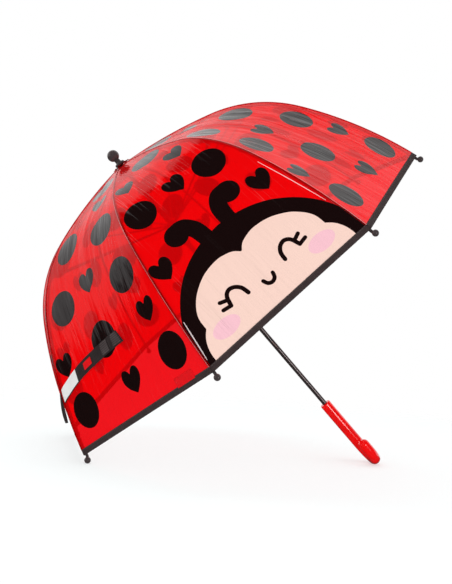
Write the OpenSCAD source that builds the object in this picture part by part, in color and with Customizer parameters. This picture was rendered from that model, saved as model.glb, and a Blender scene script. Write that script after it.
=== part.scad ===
// Children's dome umbrella: straight shaft with a crook handle, eight ribs with stretchers,
// a sliding runner and eight film panels that fold along their middle lines.
// Z runs up the shaft, the origin is the middle of the handle's straight grip, +X is the hook's side.

/* [Shaft and handle] */
// Outer diameter of the shaft tube
shaft_d = 7.5; // [7:0.5:9]
// Wall of the shaft tube
shaft_wall = 0.6; // [0.5:0.1:0.8]
// Diameter of the handle's bar
handle_d = 17; // [15:0.5:18]
// Length of the straight grip
grip_len = 86; // [70:1:100]
// Distance between the middles of the grip and of the hook's free arm
hook_w = 50; // [46:1:60]
// Straight length of the hook's free arm, below its round end
hook_arm = 10.5; // [2:0.5:20]
// Length of shaft inside the handle
shaft_seat = 70; // [50:1:80]

/* [Canopy] */
// Height of the canopy's top above the origin
canopy_top = 530; // [528:1:540]
// Turn of the front panel's middle from the hook's plane
canopy_turn = 4.5; // [0:0.5:22]
// Radii of a rib line's three arcs: crown, shoulder and skirt
arc_r = [780, 207, 616];
// Slopes below level where those arcs start and end
slope = [5, 16.5, 54, 72];
// Length of the film along a rib, from the shaft's axis to the hem
film_len = 477; // [470:1:478]
// How far a panel's middle sinks inside the chord between its ribs
panel_sag = 8; // [0:0.5:12]
// Thickness of the film panels
film_t = 0.8; // [0.6:0.1:1]

/* [Ribs and stretchers] */
// Diameter of a rib
rib_d = 3; // [2.5:0.1:3.2]
// Depth of a rib's middle below the film's outer face
rib_drop = 3.6; // [3.5:0.1:4]
// Length along the rib line from the shaft's axis to the stretcher clip
clip_at = 215; // [205:1:225]
// Depth of the stretcher pin below the rib's middle
clip_drop = 4.8; // [4.8:0.1:5.5]
// Diameter of a stretcher
stretcher_d = 2.5; // [2.2:0.1:2.6]
// Radius of the pin circles on the crown and the runner
pin_circle_r = 8; // [8:0.1:8.5]
// Diameter of a rib tip's ball
tip_d = 9; // [8:0.5:10]
// Angle by which a rib folds
fold_angle = 50; // [40:1:50]

/* [Top] */
// Diameter of the ferrule's ball
ferrule_ball_d = 18; // [16:0.5:20]
// Diameter of the ferrule's collar
collar_d = 16; // [15:0.5:17]
// Diameter of the rosette under the ferrule
rosette_d = 30; // [26:1:32]

/* [Closing strap] */
// Width of the strap
strap_w = 19; // [16:0.5:20]
// Thickness of the strap
strap_t = 1.2; // [1:0.1:1.5]

/* [Hidden] */
n_ribs = 8;
step = 360 / n_ribs;
half = step / 2;
gap = 0.25;
plate_t = 1.2;
slot_w = 1.8;
eye_r = 1.9;
wire_r = 0.5;
pin_r = 0.8;
run_fit = 0.06;
bore_fit = 0.08;
neck_short = 7.5;
neck_long = 12;
plate_h = 2.4;
grip_edge_r = 1.5;
film_start = 13;

// Ferrule, upwards from the canopy's top: base, bead, cone, neck and ball
base_z = 1.2;
base_h = 3;
bead_r = 2.4;
cone_r = 6.2;
cone_h = 3.5;
ferrule_neck_r = 4.2;
ferrule_neck_h = 7;
ball_z = 10 + ferrule_ball_d / 2;
socket_h = 5;

// Crown and runner: a slotted disc on a sleeve
disc_r = 10.5;
crown_top = canopy_top - 2.3;
crown_disc_h = 4.2;
crown_sleeve_r = 5.2;
crown_sleeve_h = 7.5;
runner_sleeve_r = 5.6;
runner_disc_h = 5;
slot_in_r = 5.8;

// Rib line: three arcs that meet smoothly, as points [distance from the axis, height]
function arc_len(i) = arc_r[i] * (slope[i + 1] - slope[i]) * PI / 180;
function arc_mid(i) = i == 0
    ? [-arc_r[0] * sin(slope[0]), canopy_top - arc_r[0] * cos(slope[0])]
    : arc_mid(i - 1) + (arc_r[i - 1] - arc_r[i]) * [sin(slope[i]), cos(slope[i])];
len_a = arc_len(0);
len_b = len_a + arc_len(1);
function arc_of(s) = s < len_a ? 0 : s < len_b ? 1 : 2;
function arc_start(i) = i == 0 ? 0 : i == 1 ? len_a : len_b;
function slope_at(s) = slope[arc_of(s)] + (s - arc_start(arc_of(s))) / arc_r[arc_of(s)] * 180 / PI;
function line_at(s, d) = arc_mid(arc_of(s))
    + (arc_r[arc_of(s)] - d) * [sin(slope_at(s)), cos(slope_at(s))];

// Points on a panel: s along the rib line, u from -1 to 1 across, d below the outer face
function sag_at(s) = panel_sag * sin(180 * min(1, s / (len_b + arc_len(2))));
function panel_mid(s, u, d) = line_at(s, d)[0] * cos(half) - sag_at(s) * (1 - u * u);
function panel_at(s, u, d) = [panel_mid(s, u, d), u * line_at(s, d)[0] * sin(half), line_at(s, d)[1]];

// Pins: rib pin on the crown, stretcher pin on the rib clip, stretcher pin on the runner
pin_slope = slope[0] + pin_circle_r / arc_r[0] * 180 / PI;
rib_pin = [pin_circle_r, line_at(pin_circle_r, rib_drop)[1]];
clip_pin = line_at(clip_at, rib_drop + clip_drop);
arm_vec = clip_pin - rib_pin;
arm_len = norm(arm_vec);
arm_angle = atan2(arm_vec[0], -arm_vec[1]);
runner_pin = [pin_circle_r, rib_pin[1] - 2 * arm_len * cos(arm_angle)];
runner_travel = 2 * arm_len * (cos(arm_angle - fold_angle) - cos(arm_angle));

// Heights of what sits on the shaft
runner_up = 3;
runner_down = 38;
nose_gap = 1;
catch_h = 27;
top_catch_z = runner_pin[1] - runner_down - nose_gap - catch_h;
bottom_catch_z = runner_pin[1] - runner_travel + runner_up + nose_gap + catch_h;
stop_z = runner_pin[1] + runner_up + 1.5;
shaft_low = grip_len / 2 - shaft_seat;
shaft_top = canopy_top + socket_h;
shaft_r = shaft_d / 2;
tube_r = shaft_r - shaft_wall;

// Rib k's meridian plane, and panel k's middle plane between ribs k and k + 1
module at_rib(k) rotate([0, 0, canopy_turn - half + step * (k - 1)]) children();
module at_panel(k) rotate([0, 0, canopy_turn + step * (k - 1)]) children();

// Pin or eye along Y at a point of the XZ plane
module cross_pin(p, r, w) translate([p[0], 0, p[1]]) rotate([90, 0, 0])
    cylinder(h = w, r = r, center = true, $fn = 32);

// Round bar along the rib line from s0 to s1 at depth d
module bar_arc(i, s0, s1, d, r) translate([arc_mid(i)[0], 0, arc_mid(i)[1]])
    rotate([90, 0, 0]) rotate([0, 0, 90 - slope_in(i, s1)])
        rotate_extrude(angle = slope_in(i, s1) - slope_in(i, s0), $fn = 360)
            translate([arc_r[i] - d, 0]) circle(r = r, $fn = 32);
function slope_in(i, s) = slope[i] + (s - arc_start(i)) / arc_r[i] * 180 / PI;

// Straight piece in the XZ plane from p, at angle a above +X
module beam(p, a) translate([p[0], 0, p[1]]) rotate([0, -a, 0]) children();

module shaft() color([0.16, 0.13, 0.13]) {
    difference() {
        translate([0, 0, shaft_low]) cylinder(h = shaft_top - shaft_low, r = shaft_r, $fn = 64);
        translate([0, 0, shaft_low - 1]) cylinder(h = shaft_top - shaft_low + 2, r = tube_r, $fn = 64);
        translate([0, -plate_t / 2 - gap, top_catch_z + 4]) cube([shaft_d, plate_t + 2 * gap, catch_h - 3]);
        translate([0, -plate_t / 2 - gap, bottom_catch_z - catch_h - 1])
            cube([shaft_d, plate_t + 2 * gap, catch_h - 3]);
    }
    cross_pin([0.8, top_catch_z], 0.6, 2 * tube_r);
    cross_pin([0.8, bottom_catch_z], 0.6, 2 * tube_r);
    difference() {
        cross_pin([0, stop_z], 0.75, shaft_d + 3);
        translate([0, 0, stop_z - 2]) cylinder(h = 4, r = shaft_r - shaft_wall / 2, $fn = 64);
    }
}

// Crook handle: grip, half ring and free arm with a round end
module handle() color([0.93, 0.02, 0.01]) difference() {
    union() {
        translate([0, 0, -grip_len / 2]) cylinder(h = grip_len - grip_edge_r, d = handle_d, $fn = 96);
        translate([0, 0, grip_len / 2 - grip_edge_r]) rotate_extrude($fn = 96) union() {
            square([handle_d / 2 - grip_edge_r, grip_edge_r]);
            intersection() {
                translate([handle_d / 2 - grip_edge_r, 0]) circle(r = grip_edge_r, $fn = 32);
                square([handle_d / 2, grip_edge_r]);
            }
        }
        translate([hook_w / 2, 0, -grip_len / 2]) rotate([90, 0, 0]) rotate([0, 0, 180])
            rotate_extrude(angle = 180, $fn = 96) translate([hook_w / 2, 0]) circle(d = handle_d, $fn = 96);
        translate([hook_w, 0, -grip_len / 2]) cylinder(h = hook_arm, d = handle_d, $fn = 96);
        translate([hook_w, 0, -grip_len / 2 + hook_arm]) sphere(d = handle_d, $fn = 96);
    }
    translate([0, 0, shaft_low]) cylinder(h = grip_len, r = shaft_r, $fn = 64);
}

// Turned ferrule: collar, neck and ball over the shaft's end
module ferrule() color([0.2, 0.17, 0.17]) difference() {
    union() {
        translate([0, 0, canopy_top + base_z]) cylinder(h = base_h, d = collar_d - 3, $fn = 96);
        translate([0, 0, canopy_top + base_z + bead_r]) rotate_extrude($fn = 96) union() {
            translate([collar_d / 2 - bead_r, 0]) circle(r = bead_r, $fn = 48);
            translate([0, -bead_r]) square([collar_d / 2 - bead_r, 2 * bead_r]);
        }
        translate([0, 0, canopy_top + base_h + 1])
            cylinder(h = cone_h, r1 = cone_r, r2 = ferrule_neck_r, $fn = 96);
        translate([0, 0, canopy_top + base_h + cone_h - 0.5])
            cylinder(h = ferrule_neck_h, r = ferrule_neck_r, $fn = 96);
        translate([0, 0, canopy_top + ball_z]) sphere(d = ferrule_ball_d, $fn = 96);
    }
    translate([0, 0, canopy_top]) cylinder(h = socket_h, r = shaft_r, $fn = 64);
}

// Film washer between the canopy and the ferrule
module rosette() color([0.6, 0, 0.01]) difference() {
    translate([0, 0, canopy_top + 0.3]) cylinder(h = 0.9, d = rosette_d, $fn = 96);
    translate([0, 0, canopy_top - 1]) cylinder(h = 4, r = shaft_r, $fn = 64);
}

// Crown that holds the ribs' inner eyes on its wire
module crown() color([0.12, 0.11, 0.11]) difference() {
    union() {
        translate([0, 0, crown_top - crown_disc_h]) cylinder(h = crown_disc_h, r = disc_r, $fn = 96);
        translate([0, 0, crown_top - crown_disc_h - crown_sleeve_h])
            cylinder(h = crown_sleeve_h + 1, r = crown_sleeve_r, $fn = 96);
    }
    translate([0, 0, crown_top - 20]) cylinder(h = 30, r = shaft_r, $fn = 64);
    for (k = [1:n_ribs]) at_rib(k)
        translate([slot_in_r, -slot_w / 2, crown_top - 8]) cube([disc_r, slot_w, 10]);
    translate([0, 0, rib_pin[1]]) rotate_extrude($fn = 128)
        translate([pin_circle_r, 0]) circle(r = wire_r + 0.04, $fn = 32);
}

module crown_wire() color([0.55, 0.55, 0.57]) translate([0, 0, rib_pin[1]])
    rotate_extrude($fn = 128) translate([pin_circle_r, 0]) circle(r = wire_r, $fn = 32);

// Runner: sleeve with a slotted flange for the stretchers' inner eyes
module runner() color([0.12, 0.11, 0.11]) difference() {
    union() {
        translate([0, 0, runner_pin[1] + runner_up - runner_disc_h])
            cylinder(h = runner_disc_h, r = disc_r, $fn = 96);
        translate([0, 0, runner_pin[1] - runner_down])
            cylinder(h = runner_down, r = runner_sleeve_r, $fn = 96);
    }
    translate([0, 0, runner_pin[1] - runner_down - 1])
        cylinder(h = runner_down + runner_up + 2, r = shaft_r + bore_fit, $fn = 64);
    for (k = [1:n_ribs]) at_rib(k)
        translate([slot_in_r, -slot_w / 2, runner_pin[1] - 3]) cube([disc_r, slot_w, runner_up + 4]);
}

// Spring catch: a plate on a pin inside the tube, its nose through the tube's slot
module catch_plate(z) color([0.6, 0.6, 0.62]) translate([0, plate_t / 2, z])
    rotate([90, 0, 0]) linear_extrude(plate_t) difference() {
        union() {
            translate([0.8, 0]) circle(r = 1.5, $fn = 32);
            polygon([[0.2, 0], [2, 0], [2.2, catch_h - 15], [6.2, catch_h], [0.6, catch_h]]);
        }
        translate([0.8, 0]) circle(r = 0.6 + run_fit, $fn = 32);
    }
module top_catch() catch_plate(top_catch_z);
module bottom_catch() mirror([0, 0, 1]) catch_plate(-bottom_catch_z);

// Rib: an eye on the crown's wire, a flat neck and a round bar along the three arcs
module rib(k) color([0.14, 0.13, 0.13]) at_rib(k) {
    difference() {
        union() {
            cross_pin(rib_pin, eye_r, plate_t);
            beam(rib_pin, -pin_slope) translate([0, -plate_t / 2, -plate_h / 2])
                cube([neck_short + 2, plate_t, plate_h]);
            bar_arc(0, pin_circle_r + neck_short, len_a, rib_drop, rib_d / 2);
            bar_arc(1, len_a, len_b, rib_drop, rib_d / 2);
            bar_arc(2, len_b, film_len + 1, rib_drop, rib_d / 2);
        }
        cross_pin(rib_pin, wire_r + run_fit, plate_t + 2);
    }
}

// Ball tip with a socket over the rib's end
module rib_tip(k) {
    ball = line_at(film_len + 8.5, 1.5);
    start = line_at(film_len - 5, rib_drop);
    color([0.2, 0.17, 0.17]) at_rib(k) difference() {
        union() {
            translate([ball[0], 0, ball[1]]) sphere(d = tip_d, $fn = 64);
            beam(start, -slope_at(film_len)) rotate([0, 90, 0]) cylinder(h = 10, r = 2.1, $fn = 48);
        }
        bar_arc(2, film_len - 12, film_len + 1, rib_drop, rib_d / 2 + 0.05);
    }
}

// Saddle round the rib, with two ears and the stretcher's pin between them
module rib_clip(k) {
    s_half = 4.5;
    saddle_r = 2.1;
    ear_w = slot_w + 2;
    root = line_at(clip_at, rib_drop);
    color([0.13, 0.12, 0.12]) at_rib(k) {
        difference() {
            union() {
                bar_arc(1, clip_at - s_half, clip_at + s_half, rib_drop, saddle_r);
                cross_pin(clip_pin, 2.2, ear_w);
                beam(root, -slope_at(clip_at)) translate([-2.2, -ear_w / 2, -clip_drop])
                    cube([4.4, ear_w, clip_drop - 1.7]);
            }
            bar_arc(1, clip_at - 2 * s_half, clip_at + 2 * s_half, rib_drop, rib_d / 2 + 0.05);
            beam(clip_pin, -slope_at(clip_at)) translate([-6, -slot_w / 2, -3]) cube([12, slot_w, 5.1]);
        }
        cross_pin(clip_pin, pin_r, slot_w + 0.8);
    }
}

// Stretcher: a round bar between two flat eyes
module stretcher(k) color([0.14, 0.13, 0.13]) at_rib(k) {
    lean = 90 - arm_angle;
    difference() {
        union() {
            cross_pin(clip_pin, eye_r, plate_t);
            cross_pin(runner_pin, eye_r, plate_t);
            beam(runner_pin, lean) {
                translate([0, -plate_t / 2, -plate_h / 2]) cube([neck_long + 2, plate_t, plate_h]);
                translate([arm_len - neck_long - 2, -plate_t / 2, -plate_h / 2])
                    cube([neck_long + 2, plate_t, plate_h]);
                translate([neck_long, 0, 0]) rotate([0, 90, 0])
                    cylinder(h = arm_len - 2 * neck_long, d = stretcher_d, $fn = 32);
            }
        }
        cross_pin(clip_pin, pin_r + run_fit, plate_t + 2);
        cross_pin(runner_pin, wire_r + run_fit, plate_t + 2);
    }
}

// A closed sheet over a grid of points: outer rows, then inner rows
function grid_faces(rows, cols, n) = concat(
    [for (i = [0:rows - 2], j = [0:cols - 2]) each
        [[i * cols + j, i * cols + j + 1, (i + 1) * cols + j + 1],
         [i * cols + j, (i + 1) * cols + j + 1, (i + 1) * cols + j],
         [n + i * cols + j, n + (i + 1) * cols + j + 1, n + i * cols + j + 1],
         [n + i * cols + j, n + (i + 1) * cols + j, n + (i + 1) * cols + j + 1]]],
    [for (j = [0:cols - 2]) each
        [[j, n + j, n + j + 1], [j, n + j + 1, j + 1],
         [(rows - 1) * cols + j, (rows - 1) * cols + j + 1, n + (rows - 1) * cols + j + 1],
         [(rows - 1) * cols + j, n + (rows - 1) * cols + j + 1, n + (rows - 1) * cols + j]]],
    [for (i = [0:rows - 2]) each
        [[i * cols, (i + 1) * cols, n + (i + 1) * cols],
         [i * cols, n + (i + 1) * cols, n + i * cols],
         [i * cols + cols - 1, n + (i + 1) * cols + cols - 1, (i + 1) * cols + cols - 1],
         [i * cols + cols - 1, n + i * cols + cols - 1, n + (i + 1) * cols + cols - 1]]]);
module sheet_solid(outer, inner, rows, cols)
    polyhedron(points = concat(outer, inner), faces = grid_faces(rows, cols, rows * cols));

// Rows of a panel: close together on the shoulder, where the rib line bends most
panel_rows = concat([for (i = [0:4]) film_start + (len_a - film_start) * i / 5],
    [for (i = [0:6]) len_a + (len_b - len_a) * i / 7],
    [for (i = [0:6]) len_b + (film_len - len_b) * i / 6]);
panel_cols = 4;
// Half a panel from its rib's plane to its middle line, a gap short of both
function half_at(s, c, d) = let (p = panel_at(s, c, d), y_rib = p[0] * tan(half))
    [p[0], max(gap, min(p[1], y_rib - gap / cos(half))), p[2]];
module half_panel() {
    rows = len(panel_rows);
    sheet_solid([for (s = panel_rows, j = [0:panel_cols - 1]) half_at(s, j / (panel_cols - 1), 0)],
        [for (s = panel_rows, j = [0:panel_cols - 1]) half_at(s, j / (panel_cols - 1), film_t)],
        rows, panel_cols);
}
module panel_a(k) color([0.92, 0.03, 0.05]) at_panel(k) mirror([0, 1, 0]) half_panel();
module panel_b(k) color([0.92, 0.03, 0.05]) at_panel(k) half_panel();

// Strap: a band over panel 8 from rib 8's seam to a free end past the middle line
strap_start = -0.97;
strap_end = 0.17;
strap_bend = -0.64;
strap_lift = 0.7;
label_lift = strap_lift + strap_t + 0.2;
function strap_s(u) = 371.5 + 14 * pow((strap_end - u) / (strap_end - strap_start), 1.6);
module band(u0, u1, w0, w1, cols, lift) {
    pts = [for (i = [0:cols - 1]) u0 + (u1 - u0) * i / (cols - 1)];
    sheet_solid([for (w = [w0, w1], u = pts) panel_at(strap_s(u) + w, u, -lift - strap_t)],
        [for (w = [w0, w1], u = pts) panel_at(strap_s(u) + w, u, -lift)], 2, cols);
}
module strap() color([0.17, 0.14, 0.15]) at_panel(n_ribs)
    band(strap_start, strap_end, -strap_w / 2, strap_w / 2, 12, strap_lift);
module strap_label() color([0.95, 0.95, 0.94]) at_panel(n_ribs)
    band(strap_start + 0.01, strap_bend, -strap_w / 2 + 1, strap_w / 2 - 1, 5, label_lift);

// Tail: the strap's short end, hanging on panel 7 beside rib 8's seam
tail_len = 42;
tail_rows = 5;
function tail_at(i, side, d) = panel_at(
    strap_s(strap_start) - strap_w / 2 + 4 + tail_len * i / (tail_rows - 1),
    0.97 - 0.035 * i / (tail_rows - 1) - side * strap_w / 130, d);
module strap_tail() color([0.17, 0.14, 0.15]) at_panel(n_ribs - 1) {
    sheet_solid([for (i = [0:tail_rows - 1], side = [1, 0]) tail_at(i, side, -strap_lift - strap_t)],
        [for (i = [0:tail_rows - 1], side = [1, 0]) tail_at(i, side, -strap_lift)], tail_rows, 2);
}

shaft();
handle();
ferrule();
rosette();
crown();
crown_wire();
runner();
top_catch();
bottom_catch();
strap();
strap_label();
strap_tail();
for (k = [1:n_ribs]) {
    rib(k);
    rib_tip(k);
    rib_clip(k);
    stretcher(k);
    panel_a(k);
    panel_b(k);
}
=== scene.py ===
"""Looks of the children's umbrella: printed film panels, seams, hem, strap, materials and a plain set.

Lengths are in metres in the row frame. A point on a panel is given as x, its distance across from
the panel's middle line, and s, its distance down from the shaft's axis along the film.
"""
import math
import bpy
import numpy as np
from mathutils import Matrix, Vector
from mathutils.geometry import delaunay_2d_cdt


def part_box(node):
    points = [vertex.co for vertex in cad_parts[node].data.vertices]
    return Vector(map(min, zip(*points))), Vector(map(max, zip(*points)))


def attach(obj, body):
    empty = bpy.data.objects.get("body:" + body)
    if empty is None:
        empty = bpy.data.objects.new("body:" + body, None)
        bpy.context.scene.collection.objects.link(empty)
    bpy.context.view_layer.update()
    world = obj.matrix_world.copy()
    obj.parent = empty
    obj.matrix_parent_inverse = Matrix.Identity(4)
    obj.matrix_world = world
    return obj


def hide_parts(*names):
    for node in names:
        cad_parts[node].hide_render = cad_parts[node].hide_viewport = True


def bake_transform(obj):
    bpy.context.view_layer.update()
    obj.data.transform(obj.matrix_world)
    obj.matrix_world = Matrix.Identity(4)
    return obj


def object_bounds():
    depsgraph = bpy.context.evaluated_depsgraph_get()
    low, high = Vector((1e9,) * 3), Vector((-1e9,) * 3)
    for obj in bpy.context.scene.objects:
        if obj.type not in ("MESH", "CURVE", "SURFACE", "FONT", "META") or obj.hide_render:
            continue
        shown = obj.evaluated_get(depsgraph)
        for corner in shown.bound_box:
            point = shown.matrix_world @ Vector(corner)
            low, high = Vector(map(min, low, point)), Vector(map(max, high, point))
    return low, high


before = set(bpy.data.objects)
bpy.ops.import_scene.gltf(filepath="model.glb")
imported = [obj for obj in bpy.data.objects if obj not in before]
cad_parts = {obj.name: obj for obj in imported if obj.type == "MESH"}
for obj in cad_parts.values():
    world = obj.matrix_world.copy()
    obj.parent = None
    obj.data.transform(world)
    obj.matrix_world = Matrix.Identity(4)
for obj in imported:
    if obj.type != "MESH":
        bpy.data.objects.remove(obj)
cad_low, cad_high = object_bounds()

# ---------- sizes of the canopy
MM = 0.001
N_RIBS = 8
STEP = math.tau / N_RIBS  # turn from one rib to the next
HALF = STEP / 2
CANOPY_TURN = math.radians(4.5)  # where panel 1's middle line lies, from the X axis
CANOPY_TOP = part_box("rosette")[0].z - 0.3 * MM
ARC_R = np.array([780, 207, 616]) * MM  # radii of the rib line's three arcs
SLOPE = np.radians([5, 16.5, 54, 72])  # the rib line's slope at its start, between its arcs and at its end
FILM_START = 9 * MM
FILM_END = 477.5 * MM
SAG = 8 * MM  # how far a panel sags inside the straight line between its ribs, at most
HEM_TOP = 469.5 * MM
FACE_PANEL = 1  # the panel with the printed ladybird
STRAP_PANEL = 8  # the panel with the closing strap and the hem patch

ARC_LEN = ARC_R * np.diff(SLOPE)
ARC_START = np.concatenate([[0], np.cumsum(ARC_LEN)[:2]])
RIB_LEN = ARC_LEN.sum()


def arc_middles():
    """Middles of the rib line's three arcs, as distance from the axis and height."""
    middle = np.array([-ARC_R[0] * math.sin(SLOPE[0]), CANOPY_TOP - ARC_R[0] * math.cos(SLOPE[0])])
    found = [middle]
    for i in (1, 2):
        turn = np.array([math.sin(SLOPE[i]), math.cos(SLOPE[i])])
        found.append(found[-1] + (ARC_R[i - 1] - ARC_R[i]) * turn)
    return np.array(found)


ARC_MID = arc_middles()


def rib_line(s, lift=0.0):
    """Distance from the axis and height of the rib line at s, lift metres outside the film."""
    s = np.asarray(s, float)
    i = np.searchsorted(ARC_START, s, side="right") - 1
    angle = SLOPE[i] + (s - ARC_START[i]) / ARC_R[i]
    reach = ARC_R[i] + lift
    return ARC_MID[i, 0] + reach * np.sin(angle), ARC_MID[i, 1] + reach * np.cos(angle)


def half_width(s):
    """Half the width of a panel at s."""
    return rib_line(s)[0] * math.sin(HALF)


def panel_point(k, x, s, lift=0.0):
    """Points of panel k at x and s, lift metres outside the film."""
    r, z = rib_line(s, lift)
    u = np.clip(x / half_width(s), -1, 1)
    sag = SAG * np.sin(math.pi * np.minimum(1, s / RIB_LEN)) * (1 - u * u)
    out = r * math.cos(HALF) - sag
    across = u * r * math.sin(HALF)
    turn = CANOPY_TURN + STEP * (k - 1)
    return np.stack([out * math.cos(turn) - across * math.sin(turn),
                     out * math.sin(turn) + across * math.cos(turn), z], axis=-1)


def rib_name(k):
    """The rib at side a of panel k, counted round."""
    return f"rib_{(k - 1) % N_RIBS + 1}"


# ---------- mesh helpers
def add_object(name, data):
    """An object of the scene that holds data."""
    made = bpy.data.objects.new(name, data)
    bpy.context.scene.collection.objects.link(made)
    return made


def add_mesh(name, points, faces, materials, uv=None, smooth=True):
    """A mesh object in the row frame. uv gives one pair for each point."""
    mesh = bpy.data.meshes.new(name)
    mesh.from_pydata([tuple(p) for p in points], [], [tuple(int(i) for i in f) for f in faces])
    for m in materials:
        mesh.materials.append(m)
    mesh.polygons.foreach_set("use_smooth", [smooth] * len(mesh.polygons))
    if uv is not None:
        layer = mesh.uv_layers.new(name="panel")
        loop_points = np.zeros(len(mesh.loops), np.int32)
        mesh.loops.foreach_get("vertex_index", loop_points)
        layer.data.foreach_set("uv", np.asarray(uv, np.float32)[loop_points].ravel())
    mesh.update()
    return add_object(name, mesh)


def grid_faces(rows, cols, wrap=False):
    """Faces over rows by cols points; wrap joins the last column to the first."""
    last = cols if wrap else cols - 1
    return [(i * cols + j, i * cols + (j + 1) % cols, (i + 1) * cols + (j + 1) % cols, (i + 1) * cols + j)
            for i in range(rows - 1) for j in range(last)]


def sweep(name, rings, materials, uv=None):
    """A closed tube through rings of points, with a flat face at each end."""
    rings = np.asarray(rings)
    rows, cols = rings.shape[:2]
    faces = grid_faces(rows, cols, wrap=True)
    faces += [tuple(range(cols))[::-1], tuple((rows - 1) * cols + j for j in range(cols))]
    flat_uv = None if uv is None else np.asarray(uv).reshape(-1, 2)
    return add_mesh(name, rings.reshape(-1, 3), faces, materials, flat_uv)


def follow_panel(piece, share):
    """Bakes piece's transform into its mesh; share, 0 at the rib and 1 at the panel's middle line, is not
    used.
    """
    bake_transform(piece)
    share = np.clip(share, 0, 1)


# ---------- material helpers
class Nodes:
    """The node tree of a new material or world, with short calls for the nodes used here."""

    def __init__(self, name, world=False):
        self.owner = (bpy.data.worlds if world else bpy.data.materials).new(name)
        self.owner.use_nodes = True
        self.tree = self.owner.node_tree
        self.shader = self.tree.nodes["Background" if world else "Principled BSDF"]
        self.output = self.tree.nodes["World Output" if world else "Material Output"]

    def add(self, kind, **values):
        """A node; values set its sockets by name with _ for a space, or its properties."""
        node = self.tree.nodes.new(kind)
        for key, value in values.items():
            socket = key.replace("_", " ")
            if socket in node.inputs:
                self.feed(node.inputs[socket], value)
            else:
                setattr(node, key, value)
        return node

    def feed(self, socket, value):
        """Links value to the socket if it is a socket too, or else sets it."""
        if isinstance(value, bpy.types.NodeSocket):
            self.tree.links.new(value, socket)
        else:
            socket.default_value = value

    def set(self, **values):
        """Sets or links the sockets of the tree's own shader."""
        for key, value in values.items():
            self.feed(self.shader.inputs[key.replace("_", " ")], value)

    def place(self, scale, uv=False):
        """Object coordinates, or the panel map, stretched by scale."""
        coords = self.add("ShaderNodeTexCoord")
        mapping = self.add("ShaderNodeMapping", Scale=scale)
        self.tree.links.new(coords.outputs["UV" if uv else "Object"], mapping.inputs["Vector"])
        return mapping.outputs[0]

    def noise(self, vector, detail=3.0, roughness=0.5, distortion=0.0):
        """Noise from 0 to 1 at vector."""
        return self.add("ShaderNodeTexNoise", Vector=vector, Scale=1.0, Detail=detail,
                        Roughness=roughness, Distortion=distortion).outputs["Fac"]

    def ramp(self, value, low, high, to_low=0.0, to_high=1.0):
        """value mapped smoothly from low..high to to_low..to_high."""
        node = self.add("ShaderNodeMapRange", interpolation_type="SMOOTHSTEP")
        for name, number in (("Value", value), ("From Min", low), ("From Max", high),
                             ("To Min", to_low), ("To Max", to_high)):
            self.feed(node.inputs[name], number)
        return node.outputs[0]

    def math(self, operation, a, b=0.0):
        """The result of a math operation on one or two values."""
        node = self.add("ShaderNodeMath", operation=operation)
        self.feed(node.inputs[0], a)
        self.feed(node.inputs[1], b)
        return node.outputs[0]

    def tint(self, factor, a, b):
        """Colour a, which may be a socket, where factor is 0 and colour b where it is 1."""
        node = self.add("ShaderNodeMix", data_type="RGBA")
        self.feed(node.inputs["Factor"], factor)
        self.feed(node.inputs[6], a if isinstance(a, bpy.types.NodeSocket) else (*a, 1))
        self.feed(node.inputs[7], (*b, 1))
        return node.outputs[2]

    def mix(self, factor, first, second):
        """The shader first where factor is 0 and second where it is 1."""
        node = self.add("ShaderNodeMixShader", Fac=factor)
        self.tree.links.new(first.outputs[0], node.inputs[1])
        self.tree.links.new(second.outputs[0], node.inputs[2])
        return node

    def bump(self, height, distance, strength=1.0, normal=None):
        """A normal bent by height, on top of another bump's normal if there is one."""
        node = self.add("ShaderNodeBump", Strength=strength, Distance=distance, Height=height)
        if normal is not None:
            self.feed(node.inputs["Normal"], normal)
        return node.outputs[0]


def film_creases(n):
    """Sparse thin creases that run down the panel, 1 on a crease and 0 off it: for bump and a painted
    highlight.
    """
    found = []
    for scale, width in (((48, 0.5, 1), 0.005), ((90, 1.1, 1), 0.006)):
        field = n.noise(n.place(scale, uv=True), detail=0)
        off = n.math("ABSOLUTE", n.math("SUBTRACT", field, 0.54))
        found.append(n.ramp(off, 0.0, width, 1.0, 0.0))
    patchy = n.ramp(n.noise(n.place((30, 8, 1), uv=True), detail=2), 0.46, 0.66)
    return n.math("MULTIPLY", n.math("MAXIMUM", found[0], found[1]), patchy)


def film_bump(n):
    """Fine lengthwise creases and a slow waviness, along the panel."""
    broad = n.noise(n.place((75, 6, 1), uv=True), detail=3, roughness=0.6, distortion=0.5)
    slow = n.noise(n.place((24, 9, 1), uv=True), detail=2)
    first = n.bump(slow, 3.5 * MM, 0.6)
    second = n.bump(broad, 2.4 * MM, 0.7, first)
    return n.bump(film_creases(n), 0.25 * MM, 0.8, second)


FILM_IOR = 1.45
INSIDE_OPEN = 0.8  # see-through share of the film from inside, where its print lies behind it


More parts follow.
